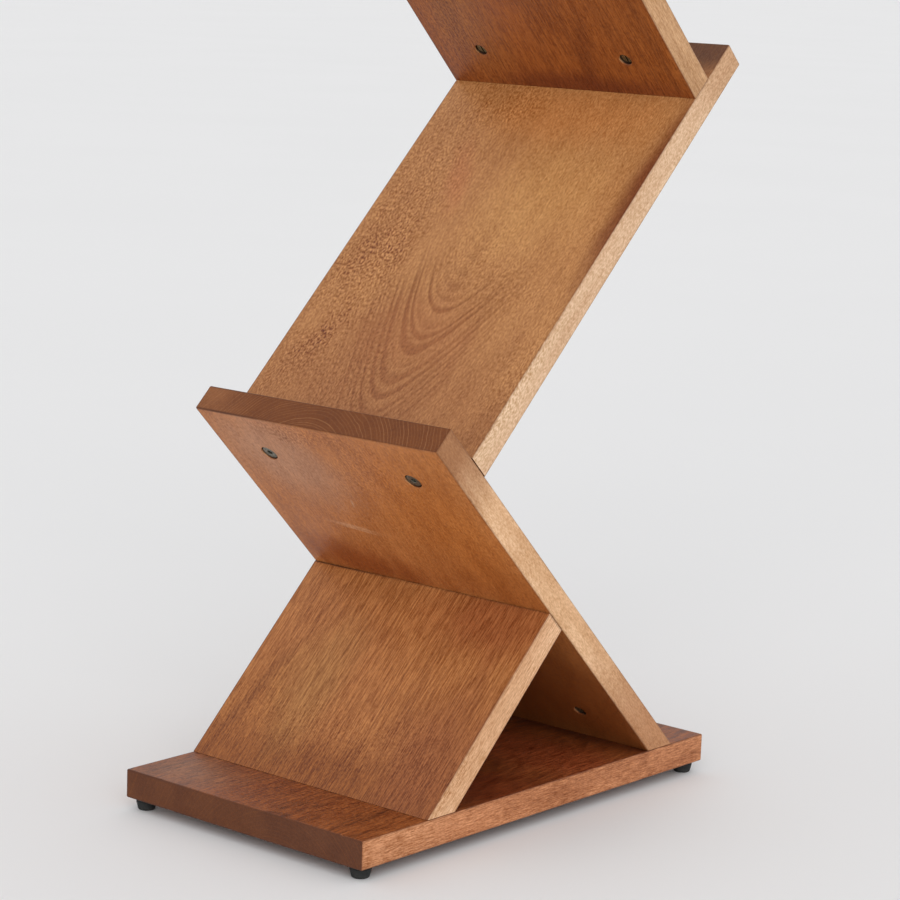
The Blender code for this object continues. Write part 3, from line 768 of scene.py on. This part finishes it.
def woodMaterial(node, look, plan):
    layout = boardLayout[node]
    material, tree, shader = newMaterial(layout["piece"] + "Wood")
    coordinate = addNode(tree, "ShaderNodeTexCoord").outputs
    place = coordinate["Object"]
    facing = split(tree, vectorSums(tree, "ABSOLUTE", coordinate["Normal"]))
    onEnd = spread(tree, facing["Y"], 0.5, 0.9)
    onSide = spread(tree, facing["X"], 0.5, 0.9)
    figure = useGroup(tree, woodFigure, vector=place, heart=look["heart"], lean=look["lean"],
                      taper=look["taper"], ringWidth=look["ringWidth"], wobble=look["wobble"],
                      fibreDraw=look["fibreDraw"], seed=look["seed"])
    specks = spread(tree, figure["Speck"], 0.3, 0.7, -1.0, 1.0)

    face = faceTone(tree, place, coordinate["Normal"], figure, look)
    colour = mixed(tree, onSide, face, sideTone(tree, place, figure, look))
    colour = grained(tree, colour, fineGrain(tree, place, figure, look, onSide, specks))
    offSide = timesPlus(tree, onSide, -woodFinish["sideDashes"], 1.0)
    colour = patched(tree, colour, look["late"], offSide, times(tree, figure["Dash"], look["dash"]))
    colour = mixed(tree, onEnd, colour, endTone(tree, place, figure, look, specks))
    # the arris stain and painted shade stop short of a cut foot
    low = (-halfWidth, 0.0 if layout["foot"] == "round" else -1.0, -halfThick)     # a cut foot is not worn
    colour = stainedAndShadedEdges(tree, place, colour, low, (halfWidth, plan["top"], halfThick))
    tree.links.new(colour, shader["Base Color"])

    rough = timesPlus(tree, figure["Fibre"], 0.06, woodFinish["roughness"])
    tree.links.new(timesPlus(tree, onEnd, 0.12, rough), shader["Roughness"])
    height = timesPlus(tree, figure["Dash"], -0.8, figure["Fibre"])
    height = timesPlus(tree, figure["Pore"], 0.5, height)
    addBump(tree, shader, height, 0.6, woodFinish["bumpDepth"])
    shader["Specular IOR Level"].default_value = woodFinish["gloss"]
    shader["Coat Weight"].default_value = woodFinish["coat"]
    shader["Coat Roughness"].default_value = woodFinish["coatRoughness"]
    return material


def buildBoards():
    holes = {node: [] for node in boardLayout}
    for joint, layout in jointLayout.items():
        for side in sides:
            plan = boltPlan(joint, side)
            radius, length = nutSize("barrel_nut_%s_%s" % (joint, side))
            holes[layout["through"]].append(boltCutter(plan, layout["through"]))
            holes[layout["end"]].append(boltCutter(plan, layout["through"]))
            holes[layout["end"]].append(nutCutter(joint, plan["nut"], radius, length))
    for end in ("front", "rear"):
        for side in sides:
            holes["base_board"].append(pilotCutter("foot_%s_%s" % (end, side)))
    for node, layout in boardLayout.items():
        plan = plans[node]
        cutters = holes[node] + [dentCutter(plan, dent) for dent in dents[node]]
        mesh = carved(boardMesh(layout["piece"], plan, layout), plan["matrix"], cutters)
        mesh.materials.clear()
        smoothShaded(mesh, 35.0)
        mesh.name = layout["piece"]
        material = woodMaterial(node, {**plainLook, **boardLooks[node]}, plan)
        piece = addPiece(layout["piece"], mesh, material, node, plan["matrix"])
        flatter = piece.modifiers.new("weightedNormals", "WEIGHTED_NORMAL")
        flatter.keep_sharp = True
        print("board", layout["piece"], len(mesh.polygons), "faces")


buildBoards()


# metal and rubber

metalLooks = {
    "boltSteel": {"colour": "#7c7a6e", "dull": "#3d3b33", "roughness": 0.36, "metallic": 0.9},
    "nutBrass": {"colour": "#8a7a58", "dull": "#4a4030", "roughness": 0.42, "metallic": 0.9},
    "zincSteel": {"colour": "#b3b5b6", "dull": "#77787a", "roughness": 0.34, "metallic": 0.95},
}
metalWear = {"filmShare": 0.7, "filmRoughness": 0.22, "markTone": "#c9c6bd", "markShare": 0.35,
             "markPolish": 0.12, "markDepth": 0.00002}
rubberLook = {"tone": "#0f1212", "dust": "#4a4844", "dustReach": 0.007, "dustBelow": 0.4, "dustAbove": 0.08,
              "pebbleTone": "#1c1d1d", "pebbleShare": 0.25, "pebbleScale": 2400.0, "pebbleDepth": 0.00008}


def metalMaterial(name, look):
    material, tree, shader = newMaterial(name)
    place = addNode(tree, "ShaderNodeTexCoord").outputs["Object"]
    worn = useGroup(tree, scratches, vector=place)
    dulled = times(tree, worn["Film"], metalWear["filmShare"])
    colour = mixed(tree, dulled, linear(look["colour"]), linear(look["dull"]))
    colour = patched(tree, colour, metalWear["markTone"], metalWear["markShare"], worn["Marks"])
    tree.links.new(colour, shader["Base Color"])
    rough = timesPlus(tree, worn["Film"], metalWear["filmRoughness"], look["roughness"])
    rough = timesPlus(tree, worn["Marks"], -metalWear["markPolish"], rough)
    tree.links.new(rough, shader["Roughness"])
    addBump(tree, shader, worn["Marks"], 0.5, metalWear["markDepth"])
    shader["Metallic"].default_value = look["metallic"]
    return material


def rubberMaterial():
    material, tree, shader = newMaterial("footRubber")
    place = addNode(tree, "ShaderNodeTexCoord").outputs["Object"]
    pebble = noise(tree, place, rubberLook["pebbleScale"], 3.0, 0.6)
    cloudy = spread(tree, noise(tree, place, 190.0, 4.0, 0.6), 0.42, 0.72)
    low = spread(tree, split(tree, place)["Z"], 0.0, rubberLook["dustReach"], rubberLook["dustBelow"],
                 rubberLook["dustAbove"])
    dusty = times(tree, cloudy, low)
    colour = mixed(tree, dusty, linear(rubberLook["tone"]), linear(rubberLook["dust"]))
    pebbled = spread(tree, pebble, 0.35, 0.65, 0.0, rubberLook["pebbleShare"])
    colour = mixed(tree, pebbled, colour, linear(rubberLook["pebbleTone"]))
    tree.links.new(colour, shader["Base Color"])
    tree.links.new(spread(tree, pebble, 0.3, 0.7, 0.62, 0.82), shader["Roughness"])
    addBump(tree, shader, pebble, 0.7, rubberLook["pebbleDepth"])
    return material


metals = {name: metalMaterial(name, look) for name, look in metalLooks.items()}
rubber = rubberMaterial()
print("metal and rubber ready")


# hardware

def hexagonReach(flats):
    def reach(angle):
        fromFlat = (angle % (math.pi / 3.0)) - math.pi / 6.0
        return flats / 2.0 / math.cos(fromFlat)
    return reach


def threadReach(core, crest, pitch, height, fade=1.0):
    # how far out a helical thread stands at this height; its crest is cut flat
    def reach(angle):
        phase = (height / pitch - angle / math.tau) % 1.0
        ramp = 1.0 - abs(2.0 * phase - 1.0)
        return core + (crest - core) * min(1.0, ramp * 1.25) * fade
    return reach


def threadedRun(core, crest, pitch, start, end, perPitch):
    # rings up a threaded shank, with the thread running out over one pitch at each end
    rings = []
    steps = max(2, round((end - start) / pitch * perPitch))
    for step in range(steps + 1):
        height = start + (end - start) * step / steps
        fade = min(1.0, (height - start) / pitch, (end - height) / pitch)
        rings.append((threadReach(core, crest, pitch, height, max(0.0, fade)), height))
    return rings


def boltMesh(name, headRadius, length):
    # socket, chamfered head, shank, thread and tip, from the head's face at z = 0 upward
    shape = boltShape
    shank = shape["radius"]
    core = shank - shape["threadDepth"]
    threadStart = length - shape["threadLength"]
    flats = shape["socketFlats"]
    chamfer = shape["headChamfer"]
    under = shape["headHeight"]
    edge = shape["headEdge"]
    fillet = shape["fillet"]
    rings = [(hexagonReach(flats), shape["socketDepth"]), (hexagonReach(flats), shape["socketChamfer"]),
             (hexagonReach(flats + 2.0 * shape["socketChamfer"]), 0.0),
             (headRadius - 2.2 * chamfer, 0.0), (headRadius - chamfer, shape["crown"]),
             (headRadius - 0.3 * chamfer, 0.3 * chamfer), (headRadius, chamfer), (headRadius, under - edge),
             (headRadius - edge, under), (shank + fillet, under), (shank, under + fillet),
             (shank, threadStart - 2.0 * fillet), (core, threadStart)]
    rings += threadedRun(core, shank, shape["pitch"], threadStart + 0.0001, length - shape["tipChamfer"],
                         shape["ringsPerPitch"])
    rings += [(core - shape["tipInset"], length)]
    return turnedMesh(name, rings, shape["facets"])


def nutMesh(name, radius, length):
    # slotted round bar with a cross bore that flares where it breaks out
    half = length / 2.0
    chamfer = nutShape["chamfer"]
    flare = nutShape["flare"]
    reach = nutShape["overcut"]
    bore = boltShape["radius"] + nutShape["boreRoom"]
    bar = bmesh.new()
    addTurned(bar, [(radius - chamfer, -half), (radius, -half + chamfer), (radius, half - chamfer),
                    (radius - chamfer, half)], nutShape["facets"])
    hole = bmesh.new()
    addTurned(hole, [(bore + flare + reach, -radius - reach), (bore, -radius + flare),
                     (bore, radius - flare), (bore + flare + reach, radius + reach)],
              boardWork["holeFacets"], place=Matrix.Rotation(math.pi / 2.0, 4, "X"))
    slot = bmesh.new()
    bmesh.ops.create_cube(slot, size=1.0)
    bmesh.ops.scale(slot, verts=slot.verts,
                    vec=(nutShape["slotWidth"], 4.0 * radius, 2.0 * nutShape["slotDepth"]))
    bmesh.ops.translate(slot, verts=slot.verts, vec=(0.0, 0.0, half))
    mesh = carved(meshFrom(name, bar), Matrix.Identity(4),
                  [helperObject("bore", hole), helperObject("slot", slot)])
    mesh.name = name
    return smoothShaded(mesh)


def buildJoints():
    meshes = {}
    for joint in jointLayout:
        for side in sides:
            plan = boltPlan(joint, side)
            label = titled(joint) + side.title()
            key = "bolt%d" % round(plan["length"] * 1000.0)
            if key not in meshes:
                meshes[key] = boltMesh(key, plan["headRadius"], plan["length"])
            addPiece("bolt" + label, meshes[key], metals["boltSteel"], "bolt_%s_%s" % (joint, side),
                     plan["matrix"])
            node = "barrel_nut_%s_%s" % (joint, side)
            if "nut" not in meshes:
                meshes["nut"] = nutMesh("barrelNut", *nutSize(node))
            addPiece("barrelNut" + label, meshes["nut"], metals["nutBrass"], node,
                     nutMatrix(joint, plan["nut"]))
    print("bolts and barrel nuts placed")


buildJoints()

footShape = {"taper": 0.82, "edge": 0.0017, "edgeSteps": 5, "wellRadius": 0.0038, "wellDepth": 0.005,
             "wellEdge": 0.0002, "boreRadius": 0.0018, "soleGrooveWidth": 0.0005, "soleGrooveDepth": 0.0004,
             "rimHeight": 0.0014, "ringGroove": 0.0003, "facets": 72}
washerShape = {"edge": 0.00015, "facets": 56}
screwShape = {"headRadius": 0.0031, "headHeight": 0.0024, "flatShare": 0.8, "roundSteps": 5,
              "radius": 0.0015, "core": 0.0010, "pitch": 0.0012, "tipLength": 0.003, "tipRadius": 0.00012,
              "recessRadius": 0.0017, "recessCore": 0.0006, "recessDepth": 0.0014, "facets": 40,
              "ringsPerPitch": 6}


def quarterRound(steps, start=0):
    # the sine and cosine of each step of a quarter turn
    angles = [math.pi / 2.0 * step / steps for step in range(start, steps + 1)]
    return [(math.sin(angle), math.cos(angle)) for angle in angles]


def footMesh(low, high):
    # tapered bumper with a groove in its sole, a soft edge, a groove under its rim and a stepped well
    shape = footShape
    top = (high.x - low.x) / 2.0
    height = high.z - low.z
    bottom = top * shape["taper"]
    edge = shape["edge"]
    groove = shape["soleGrooveWidth"]
    ring = height - shape["rimHeight"]
    cut = shape["ringGroove"]
    profile = [(shape["wellRadius"], shape["wellEdge"]), (shape["wellRadius"] + shape["wellEdge"], 0.0),
               (bottom - edge - groove * 1.5, 0.0), (bottom - edge - groove, shape["soleGrooveDepth"]),
               (bottom - edge - groove * 0.5, 0.0)]
    for sine, cosine in quarterRound(shape["edgeSteps"]):
        profile.append((bottom - edge + edge * sine, edge - edge * cosine))
    for share in (0.35, 0.7):
        profile.append((bottom + (top - bottom) * share * 0.98, edge + (ring - edge) * share))
    profile += [(top - cut, ring - cut), (top - 2.0 * cut, ring), (top - cut, ring + cut),
                (top, ring + 0.0005), (top, height - cut), (top - cut, height),
                (shape["boreRadius"], height), (shape["boreRadius"], shape["wellDepth"]),
                (shape["wellRadius"], shape["wellDepth"])]
    return turnedMesh("foot", profile, shape["facets"], closed=True)


def washerMesh(low, high):
    rim = (high.x - low.x) / 2.0
    thick = high.z - low.z
    bore = footShape["boreRadius"]
    edge = washerShape["edge"]
    profile = [(bore, edge), (bore + edge, 0.0), (rim - edge, 0.0), (rim, edge), (rim, thick - edge),
               (rim - edge, thick), (bore + edge, thick), (bore, thick - edge)]
    return turnedMesh("washer", profile, washerShape["facets"], closed=True)


def crossReach(radius, core):
    def reach(angle):
        arm = abs(math.cos(2.0 * angle)) ** 14.0        # the power makes the four arms narrow
        return core + (radius - core) * arm
    return reach


def screwMesh(low, high):
    # pan head down, threaded shank up to a point
    shape = screwShape
    length = high.z - low.z
    head = shape["headRadius"]
    flat = head * shape["flatShare"]
    height = shape["headHeight"]
    core = shape["core"]
    full = crossReach(shape["recessRadius"], shape["recessCore"])
    small = crossReach(shape["recessRadius"] * 0.55, shape["recessCore"] * 0.8)
    rings = [(small, shape["recessDepth"]), (full, 0.0002), (head * 0.62, 0.0), (flat, 0.00015)]
    for sine, cosine in quarterRound(shape["roundSteps"], 1):
        rings.append((flat + (head - flat) * sine, height * (0.55 - 0.5 * cosine)))
    rings += [(head, height), (shape["radius"], height), (core, height + 0.0006)]
    rings += threadedRun(core, shape["radius"], shape["pitch"], height + 0.0008,
                         length - shape["tipLength"], shape["ringsPerPitch"])
    rings += [(core * 0.6, length - shape["tipLength"] * 0.45), (shape["tipRadius"], length)]
    return turnedMesh("screw", rings, shape["facets"])


def buildFeet():
    kinds = {"foot": (footMesh, rubber, "rubber"),
             "foot_washer": (washerMesh, metals["zincSteel"], "zinc_steel"),
             "foot_screw": (screwMesh, metals["zincSteel"], "zinc_steel")}
    for kind, (build, material, slot) in kinds.items():
        mesh = build(*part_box(kind + "_front_left"))
        for end in ("front", "rear"):
            for side in sides:
                node = "%s_%s_%s" % (kind, end, side)
                low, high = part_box(node)
                name = titled(node)
                place = Matrix.Translation(((low.x + high.x) / 2.0, (low.y + high.y) / 2.0, low.z))
                addPiece(name[0].lower() + name[1:], mesh, material, node, place)
    print("feet screwed on")


buildFeet()


# floor, light and camera

studio = {"floorColour": "#eeeeef", "floorMark": "#d8d8d8", "floorRadius": 160.0,
          "worldColour": "#ffffff", "worldStrength": 0.82, "keyStrength": 1.3, "keySoftness": 60.0,
          "keyFrom": (0.66, -0.70, 0.26)}
view = {"azimuth": 40.287, "elevation": 10.134, "roll": 2.05, "distance": 2.18508, "lens": 115.0,
        "aim": (0.01517, -0.00144, 0.27101)}


def buildFloor():
    bm = bmesh.new()
    bmesh.ops.create_circle(bm, cap_ends=True, segments=96, radius=studio["floorRadius"])
    floor = helperObject("studioFloor", bm)
    material, tree, shader = newMaterial("paleFloor")
    place = addNode(tree, "ShaderNodeTexCoord").outputs["Object"]
    faint = spread(tree, noise(tree, place, 1.2, 3.0), 0.3, 0.7)
    shade = patched(tree, linear(studio["floorColour"]), studio["floorMark"], 0.05, faint)
    tree.links.new(shade, shader["Base Color"])
    shader["Roughness"].default_value = 0.7
    shader["Specular IOR Level"].default_value = 0.3
    floor.data.materials.append(material)


def buildLights():
    world = bpy.data.worlds.new("studio")
    bpy.context.scene.world = world
    world.use_nodes = True
    background = world.node_tree.nodes["Background"]
    background.inputs["Color"].default_value = linear(studio["worldColour"])
    background.inputs["Strength"].default_value = studio["worldStrength"]
    key = bpy.data.lights.new("key", "SUN")
    key.energy = studio["keyStrength"]
    key.angle = math.radians(studio["keySoftness"])
    placed("key", key, Vector(studio["keyFrom"]).to_track_quat("Z", "Y").to_matrix().to_4x4())


def buildCamera():
    azimuth = math.radians(view["azimuth"])
    elevation = math.radians(view["elevation"])
    roll = math.radians(view["roll"])
    back = Vector((math.sin(azimuth) * math.cos(elevation), -math.cos(azimuth) * math.cos(elevation),
                   math.sin(elevation)))
    right = Vector((math.cos(azimuth), math.sin(azimuth), 0.0))
    up = back.cross(right)
    rolledRight = right * math.cos(roll) + up * math.sin(roll)
    rolledUp = up * math.cos(roll) - right * math.sin(roll)
    lens = bpy.data.cameras.new("camera")
    lens.lens = view["lens"]
    lens.sensor_width = 36.0
    lens.clip_end = 500.0
    turn = Matrix((rolledRight, rolledUp, back)).transposed().to_4x4()
    stand = Matrix.Translation(Vector(view["aim"]) + back * view["distance"])
    bpy.context.scene.camera = placed("camera", lens, stand @ turn)


buildFloor()
buildLights()
buildCamera()
bpy.context.scene.view_settings.view_transform = "Standard"
print("studio ready")
